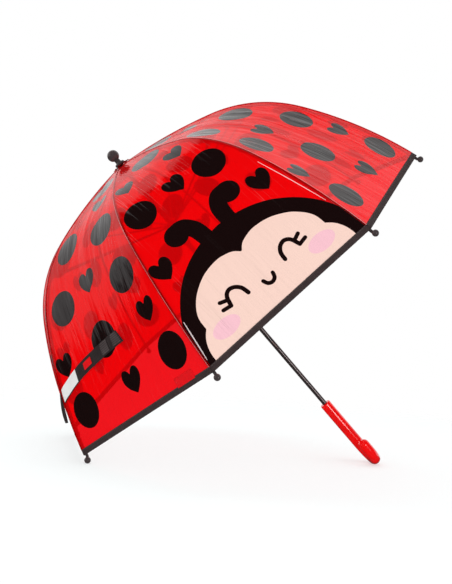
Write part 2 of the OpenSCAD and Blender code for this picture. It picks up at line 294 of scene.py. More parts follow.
def film_material(name, tint, body, open_share, thin_share, gloss):
    """Clear coloured film with a glossy skin: open_share of it is see-through, with the colour
    tint. The rest is milky, with the colour body, and thin_share of that lets light pass."""
    n = Nodes(name)
    normal = film_bump(n)
    cloud = n.noise(n.place((30, 6, 1), uv=True), detail=4)
    plain = n.tint(cloud, body, tuple(c * 0.93 for c in body))
    # Along the creases the film's colour is painted paler: a painted highlight, on top of their real bump.
    crease_painted_highlight = tuple(0.5 * c + 0.42 for c in body)
    colour = n.tint(n.math("MULTIPLY", film_creases(n), 0.35), plain, crease_painted_highlight)
    n.set(Base_Color=colour, Roughness=n.ramp(cloud, 0.3, 0.7, 0.3, 0.4), IOR=1.47, Normal=normal,
          Specular_IOR_Level=0.0)
    glow = n.add("ShaderNodeBsdfTranslucent", Color=colour, Normal=normal)
    milky = n.mix(thin_share, n.shader, glow)
    clear = n.add("ShaderNodeBsdfTransparent", Color=(*tint, 1))
    inside_view = n.add("ShaderNodeNewGeometry").outputs["Backfacing"]
    film = n.mix(n.ramp(inside_view, 0, 1, open_share, INSIDE_OPEN), milky, clear)
    # The film is thin, so light meets its back from air too: 1 / IOR undoes the node's inside case.
    ior = n.ramp(inside_view, 0, 1, FILM_IOR, 1 / FILM_IOR)
    fresnel = n.add("ShaderNodeFresnel", IOR=ior, Normal=normal)
    skin = n.add("ShaderNodeBsdfGlossy", Color=(*gloss, 1), Roughness=0.07, Normal=normal)
    top = n.mix(n.math("MULTIPLY", fresnel.outputs[0], 0.9), film, skin)
    n.tree.links.new(top.outputs[0], n.output.inputs[0])
    return n.owner


def ink_material(name, colour, roughness):
    """Printed ink under the film's gloss, with a slight unevenness of the print."""
    n = Nodes(name)
    speck = n.noise(n.place((900, 900, 1), uv=True), detail=2)
    tone = n.tint(n.ramp(speck, 0.35, 0.75), colour, tuple(c * 0.9 for c in colour))
    n.set(Base_Color=tone, Roughness=roughness, IOR=1.45, Normal=film_bump(n))
    return n.owner


def woven_material(name, colour, light, pitch, roughness=0.8):
    """Woven tape or webbing: two crossing sets of threads, pitch apart, with fuzz between them."""
    n = Nodes(name)
    across = n.add("ShaderNodeTexWave", Vector=n.place((1 / pitch, 0, 0), uv=True), Scale=0.5,
                   Distortion=0.6, bands_direction="X").outputs["Fac"]
    along = n.add("ShaderNodeTexWave", Vector=n.place((0, 0.6 / pitch, 0), uv=True), Scale=0.5,
                  Distortion=0.6, bands_direction="Y").outputs["Fac"]
    weave = n.math("MULTIPLY", across, along)
    fuzz = n.noise(n.place((4000, 4000, 4000), uv=True), detail=4, roughness=0.7)
    worn = n.noise(n.place((60, 60, 60), uv=True), detail=3)
    threads = n.math("ADD", weave, n.math("MULTIPLY", fuzz, 0.6))
    lit = n.math("MULTIPLY", threads, n.ramp(worn, 0.2, 0.8, 0.7, 1.1))
    height = n.math("ADD", weave, n.math("MULTIPLY", fuzz, 0.5))
    n.set(Base_Color=n.tint(lit, colour, light), Roughness=roughness, Specular_IOR_Level=0.2,
          Normal=n.bump(height, 0.25 * MM, 0.8))
    return n.owner


def plastic_material(name, colour, roughness, grain, coat=0.0):
    """Moulded plastic: fine grain, slow colour drift and small changes of polish."""
    n = Nodes(name)
    drift = n.noise(n.place((40, 40, 40)), detail=3)
    fine = n.noise(n.place((260, 260, 260)), detail=1)
    scuff = n.noise(n.place((120, 120, 40)), detail=3)
    rough = n.math("ADD", n.ramp(scuff, 0.5, 0.8, 0.0, 0.08), roughness)
    n.set(Base_Color=n.tint(n.ramp(drift, 0.3, 0.7), colour, tuple(c * 0.85 for c in colour)),
          Roughness=rough, Coat_Weight=coat, Coat_Roughness=0.05, Normal=n.bump(fine, grain, 0.5))
    return n.owner


def painted_material(name, colour, metal=0.0, coat=1.0):
    """Painted steel: orange-peel in the paint and small rubbed marks along the length."""
    n = Nodes(name)
    peel = n.noise(n.place((150, 150, 60)), detail=1)
    rub = n.noise(n.place((180, 180, 25)), detail=2)
    worn = n.ramp(rub, 0.62, 0.75)
    n.set(Base_Color=n.tint(worn, colour, tuple(min(1, c * 2.2) for c in colour)),
          Roughness=n.ramp(rub, 0.3, 0.8, 0.2, 0.3), Metallic=metal,
          Coat_Weight=coat, Coat_Roughness=0.06, Normal=n.bump(peel, 0.01 * MM, 0.5))
    return n.owner


def steel_material(name):
    """Bright spring steel, brushed along its length."""
    n = Nodes(name)
    brush = n.noise(n.place((2500, 2500, 90)), detail=4, roughness=0.6)
    n.set(Base_Color=n.tint(brush, (0.5, 0.5, 0.52), (0.68, 0.68, 0.7)), Metallic=1.0,
          Roughness=n.ramp(brush, 0.3, 0.7, 0.22, 0.38), Normal=n.bump(brush, 0.03 * MM, 0.5))
    return n.owner


FILM = film_material("film_red", tint=(0.97, 0.02, 0.03), body=(0.96, 0.001, 0.003),
                     open_share=0.34, thin_share=0.45, gloss=(1.0, 0.6, 0.6))
# Near-white film for two thin welts beside the seams: a painted highlight.
WELT_PAINTED_HIGHLIGHT = film_material("painted_highlight_welt", tint=(1.0, 0.7, 0.7), body=(1.0, 0.86, 0.86),
                     open_share=0.08, thin_share=0.3, gloss=(1.0, 1.0, 1.0))
# Pale film for one strip of each seam: a painted highlight.
SEAM_PAINTED_HIGHLIGHT = film_material("film_seam_painted_highlight", tint=(0.9, 0.3, 0.3), body=(0.95, 0.42, 0.42),
                          open_share=0.25, thin_share=0.3, gloss=(1.0, 0.95, 0.95))
SEAM = film_material("film_seam", tint=(0.7, 0.01, 0.015), body=(0.5, 0.0, 0.001),
                     open_share=0.7, thin_share=0.3, gloss=(1.0, 0.9, 0.9))
ROSETTE = film_material("film_rosette", tint=(0.4, 0.0, 0.0), body=(0.42, 0.0, 0.002),
                        open_share=0.12, thin_share=0.3, gloss=(1.0, 0.6, 0.6))
INK_BLACK = ink_material("ink_black", (0.007, 0.002, 0.002), 0.08)
INK_CREAM = ink_material("ink_cream", (0.91, 0.635, 0.545), 0.3)
INK_PINK = ink_material("ink_pink", (0.91, 0.52, 0.59), 0.3)
HEM_TAPE = woven_material("hem_tape", (0.014, 0.008, 0.008), (0.08, 0.054, 0.054), 0.7 * MM)
THREAD = woven_material("stitch_thread", (0.05, 0.04, 0.04), (0.16, 0.13, 0.13), 0.3 * MM)
WEBBING = woven_material("webbing", (0.006, 0.004, 0.004), (0.05, 0.036, 0.036), 1.3 * MM)
HOOK_TAPE = woven_material("hook_tape", (0.004, 0.002, 0.002), (0.11, 0.085, 0.085), 2.6 * MM)
LABEL = woven_material("label_white", (0.82, 0.82, 0.81), (0.95, 0.95, 0.94), 0.5 * MM, roughness=0.6)
PATCH = woven_material("patch_red", (0.74, 0.0, 0.003), (0.95, 0.002, 0.008), 0.45 * MM, roughness=0.9)
TIP = plastic_material("tip_plastic", (0.055, 0.040, 0.041), 0.28, 0.01 * MM)
HUB = plastic_material("hub_plastic", (0.02, 0.018, 0.018), 0.42, 0.05 * MM)
HANDLE = plastic_material("handle_red", (0.88, 0.001, 0.001), 0.14, 0.004 * MM, coat=0.8)
SHAFT = painted_material("shaft_paint", (0.13, 0.105, 0.105), metal=0.8, coat=0.2)
RIB = painted_material("rib_paint", (0.022, 0.017, 0.017))
STEEL = steel_material("spring_steel")


def cad_material(node):
    """The material of a CAD node that stays as it is."""
    if node == "shaft":
        return SHAFT
    if node == "handle":
        return HANDLE
    if node == "ferrule" or node.startswith("rib_tip"):
        return TIP
    if node in ("crown_wire", "top_catch", "bottom_catch"):
        return STEEL
    if node in ("crown", "runner") or node.startswith("rib_clip"):
        return HUB
    return RIB


for name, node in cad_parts.items():
    node.data.materials.clear()
    node.data.materials.append(cad_material(name))


def round_off(node):
    """Shades a straight tube about the Z axis as truly round, whatever its facets."""
    outer_side = 0.9  # a facet counts as the tube's outside if its normal agrees with the radius so well
    mesh = node.data
    normals = [corner.vector.copy() for corner in mesh.corner_normals]
    for polygon in mesh.polygons:
        for i in polygon.loop_indices:
            at = node.matrix_world @ mesh.vertices[mesh.loops[i].vertex_index].co
            outward = Vector((at.x, at.y, 0)).normalized()
            if polygon.normal.dot(outward) > outer_side:
                normals[i] = outward
    mesh.normals_split_custom_set(normals)


round_off(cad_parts["shaft"])

# ---------- print shapes, in millimetres
def tilted(dx, ds, x, s, tilt):
    """The outline dx, ds turned by tilt degrees and moved to x, s."""
    t = math.radians(tilt)
    return np.stack([x + dx * math.cos(t) - ds * math.sin(t), s + dx * math.sin(t) + ds * math.cos(t)], 1)


def ellipse(x, s, rx, ry, tilt=0.0, steps=40):
    """A round print with half axes rx and ry."""
    a = np.arange(steps) * math.tau / steps
    return tilted(rx * np.cos(a), ry * np.sin(a), x, s, tilt)


def heart(x, s, width, height, tilt=0.0):
    """A plump heart with its point towards the hem."""
    side = bezier([(0, -0.27), (0.11, -0.43), (0.27, -0.5), (0.43, -0.42), (0.5, -0.22),
                   (0.45, 0.02), (0.27, 0.27), (0, 0.5)], 6)
    whole = np.concatenate([side, side[-2:0:-1] * [-1, 1]])
    return tilted(whole[:, 0] * width, whole[:, 1] * height, x, s, tilt)


def bezier(points, steps=8):
    """Points along a smooth curve through the given ones."""
    p = np.array([points[0], *points, points[-1]], float)
    found = []
    for i in range(len(p) - 3):
        for t in np.arange(steps) / steps:
            found.append(0.5 * (2 * p[i + 1] + (p[i + 2] - p[i]) * t
                                + (2 * p[i] - 5 * p[i + 1] + 4 * p[i + 2] - p[i + 3]) * t ** 2
                                + (3 * p[i + 1] - p[i] - 3 * p[i + 2] + p[i + 3]) * t ** 3))
    return np.array([*found, p[-2]])


def stroke(points, width, steps=8, end_width=None):
    """A brush line with round ends along the smooth curve through points."""
    line = bezier(points, steps)
    way = np.gradient(line, axis=0)
    way /= np.linalg.norm(way, axis=1)[:, None]
    side = np.stack([-way[:, 1], way[:, 0]], 1)
    r = np.linspace(width / 2, (end_width or width) / 2, len(line))[:, None]
    caps = []
    for at, heading, size in ((-1, way[-1], r[-1]), (0, -way[0], r[0])):
        turn = math.atan2(heading[1], heading[0])
        a = turn - math.pi / 2 + np.arange(1, 6) * math.pi / 6
        caps.append(line[at] + size * np.stack([np.cos(a), np.sin(a)], 1))
    return np.concatenate([line - side * r, caps[0], (line + side * r)[::-1], caps[1]])


# Each dot is x, s and its half axes. Each heart is x, s, width, height and perhaps a tilt in degrees.
DOTS = [(-90, 428, 23, 25), (92, 427, 23, 25), (-10, 362, 24, 25), (-63, 287, 23, 25), (61, 303, 24, 25),
        (-42, 196, 21, 28), (38, 215, 25, 26), (1, 86, 24, 25)]
HEARTS = [(9, 431, 33, 34), (-94, 360, 32, 32), (80, 364, 32, 32), (-6, 278, 32, 33), (14, 143, 31, 33)]
FACE_DOTS = [(-59, 247, 23, 26), (54, 256, 23, 26), (12, 125, 24, 25)]
FACE_HEARTS = [(3, 247, 32, 35, -8), (80, 332, 32, 34, 0), (-91, 337, 32, 33, 0),
               (-43, 172, 30, 36, 6), (38, 188, 30, 34, -6)]
FACE_X = -3  # where the face's middle lies across the panel
HOOD_S, HOOD_R = 476, 136  # centre and radius of the ladybird's round black head
EYE_PEN, PEN = 5.6, 5.2  # widths of the eyelids' line, and of the lashes' and the mouth's
BLACK, CREAM, PINK = 1, 2, 3  # places of the inks in PRINTS


def antenna(side):
    """A curled stalk from the hood with a ball at its end; side is -1 or 1."""
    stalk = [(19, 356), (19, 338), (22, 321), (31, 309), (41, 308)]
    return [stroke([(FACE_X + side * x, s) for x, s in stalk], 22, end_width=25),
            ellipse(FACE_X + side * 44, 312, 16.5, 16.5)]


def face_outline():
    """Cream area: two brow lobes that meet in a notch, and a cheek lobe at each side."""
    right = [(1, 388), (8, 381), (18, 377), (33, 375), (55, 379), (76, 390), (90, 403), (98, 417), (100, 433)]
    cheek = [(100, 433), (108, 441), (114, 452), (117, 464), (118, 482)]
    half = np.concatenate([bezier(right, 5)[:-1], bezier(cheek, 4)])
    left = half[::-1] * [-1, 1]
    return np.concatenate([half, left]) + [FACE_X, 0]


def closed_eye(side):
    """A sleeping eye: an arch with two lashes on its outer side."""
    lid = [(31, 434), (33, 424), (39, 417), (47, 415), (54, 420), (58, 432)]
    lashes = ([(56, 424), (66, 420)], [(58, 432), (69, 430)])
    parts = [stroke([(FACE_X + side * x, s) for x, s in lid], EYE_PEN)]
    for points in lashes:
        parts.append(stroke([(FACE_X + side * x, s) for x, s in points], PEN, steps=3))
    return parts


def print_layers(face):
    """Print shapes from the bottom layer up, each with its material's index."""
    if not face:
        return [(ellipse(*d), BLACK) for d in DOTS] + [(heart(*h), BLACK) for h in HEARTS]
    layers = [(ellipse(*d), BLACK) for d in FACE_DOTS] + [(heart(*h), BLACK) for h in FACE_HEARTS]
    layers.append((ellipse(FACE_X, HOOD_S, HOOD_R, HOOD_R, steps=110), BLACK))
    layers += [(part, BLACK) for side in (-1, 1) for part in antenna(side)]
    layers.append((face_outline(), CREAM))
    layers += [(ellipse(FACE_X + side * 80, 448, 20, 11.5), PINK) for side in (-1, 1)]
    layers += [(part, BLACK) for side in (-1, 1) for part in closed_eye(side)]
    mouth = [(-8, 436), (-5.5, 442), (0, 444.5), (5.5, 442), (8, 436)]
    layers.append((stroke([(FACE_X + x, s) for x, s in mouth], PEN), BLACK))
    return layers


# ---------- film panels
GRID = 4.5  # spacing of the film's points, in millimetres
NEAR = 1.6  # a grid point nearer than this to a print's edge is left out, in millimetres
EDGE_POINTS, MIDDLE_POINTS = 110, 105  # points down a panel's edge and down its middle line
SLIVER = 1e-5  # twice the area of the smallest triangle that is kept, in square millimetres


def inside(points, outline):
    """Which points lie inside a closed outline."""
    x, y = points[:, 0][:, None], points[:, 1][:, None]
    a, b = outline, np.roll(outline, -1, axis=0)
    crosses = (a[:, 1] > y) != (b[:, 1] > y)
    rise = np.where(b[:, 1] == a[:, 1], 1e-12, b[:, 1] - a[:, 1])
    at = a[:, 0] + (y - a[:, 1]) / rise * (b[:, 0] - a[:, 0])
    return (np.sum(crosses & (x < at), axis=1) % 2) == 1


def edge_line(side):
    """The panel's edge at side -1 or 1, in millimetres."""
    s = np.linspace(FILM_START, FILM_END, EDGE_POINTS)
    return np.stack([side * half_width(s), s], 1) / MM


def flat_panel(face):
    """A panel cut flat: points, triangles, each triangle's material index and its half."""
    layers = print_layers(face)
    left, right = edge_line(-1), edge_line(1)
    down = np.linspace(FILM_START, FILM_END, MIDDLE_POINTS) / MM
    middle = np.stack([np.zeros(MIDDLE_POINTS), down], 1)
    outlines = [np.concatenate([left, right[::-1]])] + [shape for shape, _ in layers]
    inner = []
    for s in np.arange(FILM_START / MM + GRID, FILM_END / MM, GRID):
        wide = float(half_width(s * MM)) / MM
        cols = max(1, round(2 * wide / GRID / 2))
        x = (np.arange(-cols, cols + 1) / (cols + 0.5)) * wide
        inner.append(np.stack([x[x != 0], np.full(np.count_nonzero(x), s)], 1))
    inner = np.concatenate(inner)
    edges = np.concatenate([np.concatenate([o, (o + np.roll(o, -1, axis=0)) / 2]) for o in outlines])
    gap = np.min(np.linalg.norm(inner[:, None] - edges[None], axis=2), axis=1)
    inner = inner[gap > NEAR]
    points = [tuple(p) for p in inner]
    wires = []
    for outline in outlines:
        first = len(points)
        points += [tuple(p) for p in outline]
        wires += [(first + i, first + (i + 1) % len(outline)) for i in range(len(outline))]
    first = len(points)
    points += [tuple(p) for p in middle]
    wires += [(first + i, first + i + 1) for i in range(len(middle) - 1)]
    out = delaunay_2d_cdt([Vector(p) for p in points], wires, [], 0, 1e-4)
    flat = np.array([tuple(p) for p in out[0]])
    triangles = np.array([f for f in out[2] if len(f) == 3])
    centre = flat[triangles].mean(axis=1)
    keep = inside(centre, outlines[0])
    triangles, centre = triangles[keep], centre[keep]
    a, b, c = (flat[triangles[:, i]] for i in range(3))
    area = (b[:, 0] - a[:, 0]) * (c[:, 1] - a[:, 1]) - (b[:, 1] - a[:, 1]) * (c[:, 0] - a[:, 0])
    real = np.abs(area) > SLIVER
    triangles = np.where(area[:, None] > 0, triangles[:, ::-1], triangles)[real]
    centre = centre[real]
    kind = np.zeros(len(triangles), int)
    for outline, index in layers:
        kind[inside(centre, outline)] = index
    return flat * MM, triangles, kind, centre[:, 0] > 0


FIRST_SEED = 40  # panel k's creases are drawn with the seed FIRST_SEED + k
RIPPLE, RIDGE = 0.5 * MM, 0.9 * MM  # heights of the film's slow ripple and of its middle fold
RIDGE_WIDTH = 5 * MM


def crease_plan(seed):
    """Soft lengthwise creases of one panel: share of the width, drift, start, end, width, depth."""
    draw = np.random.default_rng(seed)
    count = 13
    return np.stack([draw.uniform(-0.9, 0.9, count), draw.uniform(-0.09, 0.09, count),
                     draw.uniform(0.02, 0.3, count), draw.uniform(0.25, 0.5, count),
                     draw.uniform(4, 8, count) * MM, draw.uniform(-0.55, 0.75, count) * MM], 1)


def relief(k, x, s):
    """Height of the film's folds above its smooth shape at x and s of panel k."""
    wide = half_width(s)
    u = x / wide
    height = np.zeros_like(x)
    for share, drift, start, reach, width, depth in crease_plan(FIRST_SEED + k):
        along = (s - start) / reach
        fade = np.clip(along, 0, 1) * np.clip(1 - along, 0, 1) * 4
        at = (share + drift * along) * wide
        height += depth * fade * np.exp(-np.abs(x - at) / width)
    wave = np.sin(x / (19 * MM) + 2.2 * np.sin(s / (90 * MM) + k) + k) * np.sin(s / (70 * MM) + 2 * k)
    height += RIPPLE * wave
    height += RIDGE * np.exp(-np.abs(x) / RIDGE_WIDTH)
    edge = np.clip((1 - np.abs(u)) * 5, 0, 1)
    ends = np.clip((s - FILM_START) / (30 * MM), 0, 1) * np.clip((FILM_END - s) / (25 * MM), 0, 1)
    return height * edge * ends


def film_point(k, x, s, lift=0.0):
    """Points of panel k's film with its folds, lift metres outside it."""
    return panel_point(k, x, s, lift + relief(k, x, s))


def film_normals(k, x, s):
    """Normals of the film's true surface, so that uneven triangles shade evenly."""
    near = 0.4 * MM
    wide = half_width(s) - 1e-6
    xa, xb = np.clip(x - near, -wide, wide), np.clip(x + near, -wide, wide)
    sa, sb = np.maximum(s - near, FILM_START), np.minimum(s + near, FILM_END)
    across = film_point(k, xb, s) - film_point(k, xa, s)
    along = film_point(k, x * half_width(sb) / half_width(s), sb) \
        - film_point(k, x * half_width(sa) / half_width(s), sa)
    normal = np.cross(along, across)
    return normal / np.linalg.norm(normal, axis=1)[:, None]


FLAT_WIDTH = 0.134  # half a panel's width at the hem
MAP_SHIFT = 0.37  # moves each panel's map, so that no two panels show the same creases
PLAIN, FACE = flat_panel(False), flat_panel(True)
PRINTS = [FILM, INK_BLACK, INK_CREAM, INK_PINK]


def make_half_panel(k, side):
    """Half of panel k's film, at side a or b of its middle line, with its print."""
    flat, triangles, kind, on_right = FACE if k == FACE_PANEL else PLAIN
    mine = on_right == (side == "b")
    used, faces = np.unique(triangles[mine], return_inverse=True)
    x, s = flat[used, 0], flat[used, 1]
    name = f"film_{k}{side}"
    uv = np.stack([x + MAP_SHIFT * k, s], 1)
    piece = add_mesh(name, film_point(k, x, s), faces.reshape(-1, 3), PRINTS, uv)
    piece.data.polygons.foreach_set("material_index", kind[mine])
    piece.data.normals_split_custom_set_from_vertices([tuple(v) for v in film_normals(k, x, s)])
    piece.visible_diffuse = False
    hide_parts(f"panel_{k}{side}")
    follow_panel(piece, 1 - np.abs(x) / half_width(s))
    return piece


# ---------- hem tape and its stitches
def make_hem(k, side):
    """A folded tape round the film's edge: rounded, a little thicker at its fold."""
    sign = -1 if side == "a" else 1
    cols = 40
    # The tape's cross-section: how far below its top, and how far outside the film, in millimetres.
    ring = [(0, 0.35), (0.2, 0.6), (3.5, 0.75), (7.2, 0.8), (8.2, 0.45), (8.5, 0),
            (8.2, -0.45), (7.2, -0.8), (3.5, -0.75), (0.2, -0.6), (0, -0.35)]
    share = np.linspace(0, 1, cols)
    rings, uv = [], []
    for j, t in enumerate(share):
        ripple = 0.25 * math.sin(3.1 * j + k) * MM
        s = np.array([HEM_TOP + d * MM for d, _ in ring]) + ripple * 0.4
        x = sign * half_width(s) * (1 - t)
        lift = np.array([h * MM for _, h in ring])
        rings.append(panel_point(k, x, np.minimum(s, FILM_END + MM), lift))
        uv.append(np.stack([np.full(len(ring), t * FLAT_WIDTH), s - HEM_TOP], 1))
    if side == "b":
        rings = [r[::-1] for r in rings]
        uv = [u[::-1] for u in uv]
    piece = sweep(f"hem_{k}{side}", rings, [HEM_TAPE], uv)
    follow_panel(piece, np.repeat(share, len(ring)))
    return piece


def make_stitches(k, side):
    """Short raised stitches along the tape's upper edge."""
    sign = -1 if side == "a" else 1
    wide = float(half_width(HEM_TOP))
    pitch, length, thick = 3.6 * MM, 2.5 * MM, 0.32 * MM
    row = HEM_TOP + 1.3 * MM
    quads = [f if side == "a" else f[::-1] for f in grid_faces(4, 3)]
    points, faces, share = [], [], []
    for i in range(int(wide / pitch)):
        middle = (i + 0.5) * pitch
        x = np.array([-1, -0.6, 0.6, 1]) * length / 2 + middle
        rise = np.array([0.1, 1, 1, 0.1]) * thick
        for a in range(4):
            for b, h in ((-1, 0.0), (0, 1.0), (1, 0.0)):
                points.append(panel_point(k, sign * x[a], row + b * thick, 0.62 * MM + h * rise[a]))
                share.append(1 - x[a] / wide)
        faces += [tuple(12 * i + q for q in f) for f in quads]
    piece = add_mesh(f"hem_stitches_{k}{side}", points, faces, [THREAD])
    follow_panel(piece, np.array(share))
    return piece


# ---------- pulled welts beside two seams, coloured near-white as painted highlights
def make_painted_highlight_welt(name, start, end, broad):
    """A thin tight welt in the face panel's film, coloured near-white as a painted highlight. start and
    end are x and s, and broad is its half width, all in millimetres."""
    rows = 60
    (x0, s0), (x1, s1) = start, end
    points, uv, share = [], [], []
    for t in np.linspace(0, 1, rows):
        x, s = x0 + (x1 - x0) * t, s0 + (s1 - s0) * t
        wide = broad * math.sin(math.pi * (0.06 + 0.88 * t)) ** 0.5
        for across, lift in ((-1, 0.02), (-0.5, 0.35), (0, 0.45), (0.5, 0.35), (1, 0.02)):
            at = (x + across * wide) * MM
            points.append(film_point(FACE_PANEL, at, s * MM, (0.12 + lift) * MM))
            uv.append((at, s * MM))
            share.append(1 - abs(at) / float(half_width(s * MM)))
    piece = add_mesh(name, points, [f[::-1] for f in grid_faces(rows, 5)], [WELT_PAINTED_HIGHLIGHT], uv)
    follow_panel(piece, np.array(share))
    return piece


make_painted_highlight_welt("painted_highlight_welt", (96.0, 308.0), (118.5, 412.0), 0.5)
make_painted_highlight_welt("painted_highlight_welt_low", (-117.5, 407.0), (-128.0, 462.0), 0.8)

# ---------- seams over the ribs
HIGHLIGHT_STRIP = 3  # the seam's strip that is painted pale, a painted highlight along the lapped edge, counted across it


def make_seam(k):
    """The welded seam over rib k: the two panels' edges lapped into a low ridge, one strip painted pale as a
    highlight.
    """
    rows = 90
    # Across the seam: -1 or 1 for the panel before or after the rib, inset and lift in millimetres.
    profile = [(-1, 2.0, 0.05), (-1, 1.7, 0.25), (-1, 1.2, 0.45), (-1, 0.6, 0.8), (-1, 0.0, 0.95),
               (1, 0.6, 0.8), (1, 1.2, 0.45), (1, 1.7, 0.25), (1, 2.0, 0.05)]
    points, uv = [], []
    for at in np.linspace(FILM_START + 6 * MM, HEM_TOP + 1 * MM, rows):
        narrow = min(1.0, float(half_width(at)) / (12 * MM))
        for side, inset, lift in profile:
            wide = float(half_width(at)) - inset * narrow * MM
            panel = k - 1 if side < 0 else k
            x = wide if side < 0 else -wide
            points.append(panel_point(panel, x, at, lift * MM))
            uv.append((side * inset * MM + 0.2 * k, at))
    faces = [f[::-1] for f in grid_faces(rows, len(profile))]
    piece = add_mesh(f"seam_{k}", points, faces, [SEAM, SEAM_PAINTED_HIGHLIGHT], uv)
    strips = len(profile) - 1
    # One strip across the ridge gets the pale film: a painted highlight along the seam.
    for i, polygon in enumerate(piece.data.polygons):
        polygon.material_index = int(i % strips == HIGHLIGHT_STRIP)
    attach(piece, rib_name(k))
    return piece


for k in range(1, N_RIBS + 1):
    make_seam(k)
    for side in "ab":
        half = make_half_panel(k, side)
        hem = make_hem(k, side)
        stitches = make_stitches(k, side)

# ---------- ties between the tips and the hem
def make_tie(k):
    """Thread wound round a rib tip's neck, where the hem is tied to it."""
    s, rib_depth = FILM_END - 3.0 * MM, 3.6 * MM
    turns, steps, sides, pitch, thread = 3, 24, 6, 0.75 * MM, 0.4 * MM
    r, z = (float(v) for v in rib_line(s, -rib_depth))
    ra, za = (float(v) for v in rib_line(s + 2 * MM, -rib_depth))
    turn = CANOPY_TURN - HALF + STEP * (k - 1)
    out = Vector((math.cos(turn), math.sin(turn), 0))
    along = (out * (ra - r) + Vector((0, 0, za - z))).normalized()
    across = Vector((-math.sin(turn), math.cos(turn), 0))
    up = across.cross(along)
    centre = out * r + Vector((0, 0, z))
    rings = []
    for i in range(turns * steps + 1):
        a = math.tau * i / steps
        reach = (2.5 + 0.1 * math.sin(5 * a)) * MM
        radial = across * math.cos(a) + up * math.sin(a)
        middle = centre + along * (pitch * i / steps) + radial * reach
        rings.append([middle + (radial * math.cos(b) + along * math.sin(b)) * thread
                      for b in np.arange(sides) * math.tau / sides])
    piece = sweep(f"tip_tie_{k}", rings, [THREAD])
    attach(piece, rib_name(k))
    return piece


for k in range(1, N_RIBS + 1):
    make_tie(k)

# ---------- ruffled rosette
def make_rosette():
    """Gathered film washer: three ruffled layers under the ferrule."""
    low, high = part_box("rosette")
    outer = (high.x - low.x) / 2
    inner = 3.9 * MM
    layers, rows, cols = 3, 10, 144
    points, faces, uv = [], [], []
    for layer in range(layers):
        for i in range(rows):
            t = i / (rows - 1)
            for j in range(cols):
                a = math.tau * j / cols
                petal = 1 + 0.08 * math.sin(4 * a + 2.1 * layer) + 0.05 * math.sin(11 * a + layer)
                r = inner + (outer * petal * (1 - 0.1 * layer) - inner) * t
                ruffle = 1.5 * math.sin(7 * a + 1.9 * layer) + 0.8 * math.sin(13 * a + 3 * layer)
                lift = 0.55 * layer * t + (ruffle - 0.8) * t ** 2 * 0.55
                z = low.z + max(lift, -1.2 * t) * MM + 0.25 * MM
                points.append((r * math.cos(a), r * math.sin(a), z))
                uv.append((0.02 * a, r))
        first = layer * rows * cols
        faces += [tuple(first + q for q in f) for f in grid_faces(rows, cols, wrap=True)]
    piece = add_mesh("rosette_film", points, faces, [ROSETTE], uv)
    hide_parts("rosette")
    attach(piece, "root")
    return piece


make_rosette()

# ---------- strap, label, patch and tail
STRAP_START, STRAP_END = -0.97, 0.17  # as shares of the panel's half width
STRAP_W = 19 * MM
STRAP_T = 1.2 * MM
STRAP_LIFT = 0.9 * MM
BESIDE_STRAP = float(half_width(375 * MM))  # the panel's half width beside the strap


def strap_middle(u):
    """How far down the strap's middle line crosses the panel at u."""
    share = (STRAP_END - u) / (STRAP_END - STRAP_START)
    droop = 8.5 * np.clip((share - 0.55) / 0.45, 0, 1.2) ** 2
    return (371.5 + 14 * np.clip(share, 0, 2) ** 1.6 + droop) * MM


def strap_point(u, w, lift):
    """A point on the strap: u along the panel's width, w across the strap."""
    s = strap_middle(u) + w
    return panel_point(STRAP_PANEL, u * half_width(s), s, lift)


def band_profile(width, thick, bulge=0.0):
    """Cross-section of a flat band with rounded edges, as pairs of across and up."""
    w, r = width / 2, thick / 2
    side = [(w - r + r * math.sin(a), r + r * math.cos(a)) for a in np.linspace(0, math.pi, 5)]
    top = [(x * (w - r), thick + bulge * (1 - x * x)) for x in np.linspace(-0.9, 0.9, 7)]
    low = [(x * (w - r), 0.0) for x in np.linspace(0.9, -0.9, 5)]
    return top + side + low + [(-x, thick - y) for x, y in side]


def make_band(name, u_from, u_to, width, thick, lift, material, steps=60, slant=0.0, bulge=0.0):
    """A flat band along the strap's line. slant tilts its free end."""
    profile = band_profile(width, thick, bulge)
    rings, uv, share = [], [], []
    for t in np.linspace(0, 1, steps):
        ring, ring_uv = [], []
        for w, up in profile:
            u = u_from + (u_to - u_from) * t + slant * t ** 4 * w / width
            wave = 0.35 * MM * math.sin(40 * u) * (1 - t)
            ring.append(strap_point(u, w, lift + up + wave))
            ring_uv.append((u * BESIDE_STRAP, w))
            share.append(1 - abs(min(u, 0)))
        rings.append(ring)
        uv.append(ring_uv)
    piece = sweep(name, rings, [material], uv)
    follow_panel(piece, np.array(share))
    return piece


def make_strap_stitches(name, u, width):
    """A row of raised stitches across the strap at u."""
    points, faces, share = [], [], []
    rise, top, pitch = 0.3 * MM, STRAP_LIFT + STRAP_T, 2.2 * MM
    count = int(width / pitch)
    du = 0.25 * MM / BESIDE_STRAP
    for i in range(count):
        w = (i - (count - 1) / 2) * pitch
        for dw, up in ((-0.75, 0.1), (0, 1), (0.75, 0.1)):
            for off, h in ((-1, 0.0), (0, 1.0), (1, 0.0)):
                points.append(strap_point(u + off * du, w + dw * MM, top + rise * up * h + 0.05 * MM))
                share.append(1 - abs(min(u, 0)))
        faces += [tuple(9 * i + q for q in f[::-1]) for f in grid_faces(3, 3)]
    piece = add_mesh(name, points, faces, [THREAD])
    follow_panel(piece, np.array(share))
    return piece


